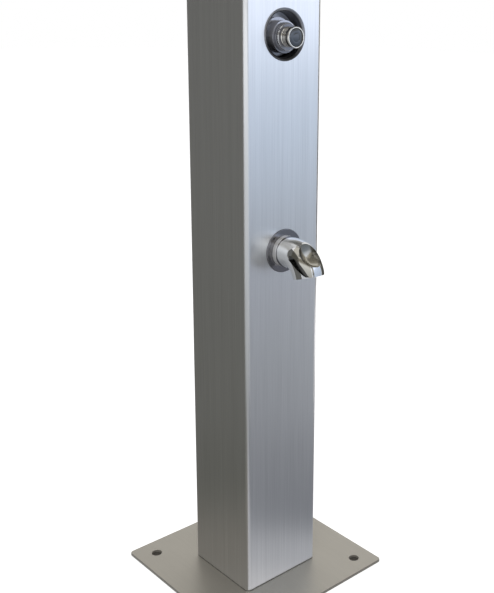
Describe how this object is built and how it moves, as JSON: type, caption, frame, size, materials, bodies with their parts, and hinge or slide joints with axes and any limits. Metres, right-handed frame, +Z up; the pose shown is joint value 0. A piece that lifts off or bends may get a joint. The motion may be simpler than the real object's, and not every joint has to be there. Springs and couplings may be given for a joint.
{
  "type": "outdoor foot shower",
  "caption": "Square brushed steel column on a bolt-down base plate, with a push-button valve in a round recess and a low turned-down spout for rinsing feet.",
  "frame": {"origin": "on the ground under the middle of the column, at the underside of the base plate", "axes": "+Z up; -Y is the front face with the button and the spout; +X is to the right seen from the rear"},
  "size_m": [0.255, 0.255, 1],
  "materials": {
    "steel_sheet": "brushed, grain up the column",
    "steel_plate": "fine satin",
    "chrome": "polished",
    "satin_cap": "satin",
    "dark_disc": "polished, dark",
    "brass": "turned",
    "bright_steel": "bright",
    "rubber": "matte",
    "white_plastic": "matte",
    "grey_plastic": "matte",
    "red_paint": "gloss",
    "braid": "braided wire"
  },
  "bodies": {
    "column": {"base_plate": "steel_plate", "post": "steel_sheet", "top_cap": "steel_sheet", "rear_cover": "steel_sheet", "cover_gasket": "rubber", "cover_screws": "bright_steel", "rivet_nuts": "bright_steel", "recess_cup": "chrome", "cup_locknut": "brass", "valve_body": "chrome", "valve_ring_nut": "chrome", "valve_gasket": "rubber", "bonnet": "chrome", "knurled_collar": "chrome", "stem_seal": "rubber", "return_spring": "bright_steel", "valve_rear_cap": "chrome", "cap_seal": "rubber", "inlet_elbow": "brass", "supply_hose": "braid", "hose_nuts": "chrome", "stop_valve_body": "chrome", "stop_valve_end": "chrome", "ball_seats": "white_plastic", "supply_pipe": "bright_steel", "supply_nuts": "brass", "inlet_fitting": "brass", "pipe_clips": "bright_steel", "delivery_pipe": "bright_steel", "delivery_nuts": "brass", "spout_elbow": "brass", "spout_flange": "chrome", "spout_collar": "chrome", "spout_body": "chrome", "spout_seal": "rubber", "grub_screw": "bright_steel", "spout_washer": "bright_steel", "spout_locknut": "brass", "flow_insert": "grey_plastic"},
    "button": {"push_button": "satin_cap", "button_disc": "dark_disc", "button_stem": "bright_steel", "piston": "brass", "piston_seal": "rubber"},
    "stop_lever_group": {"stop_ball": "chrome", "stop_stem": "brass", "stop_lever": "red_paint", "lever_nut": "bright_steel"}
  },
  "joints": [
    {"name": "button_press", "type": "slide", "parent": "column", "child": "button", "axis": [0, 1, 0], "range_m": [0, 0.006], "stiffness_N_per_m": 1500, "springref_m": -0.008, "deforming": ["return_spring"]},
    {"name": "stop_valve_turn", "type": "hinge", "parent": "column", "child": "stop_lever_group", "pos_m": [0, 0.03, 0.56], "axis": [0, 1, 0], "range_deg": [0, 90]}
  ]
}
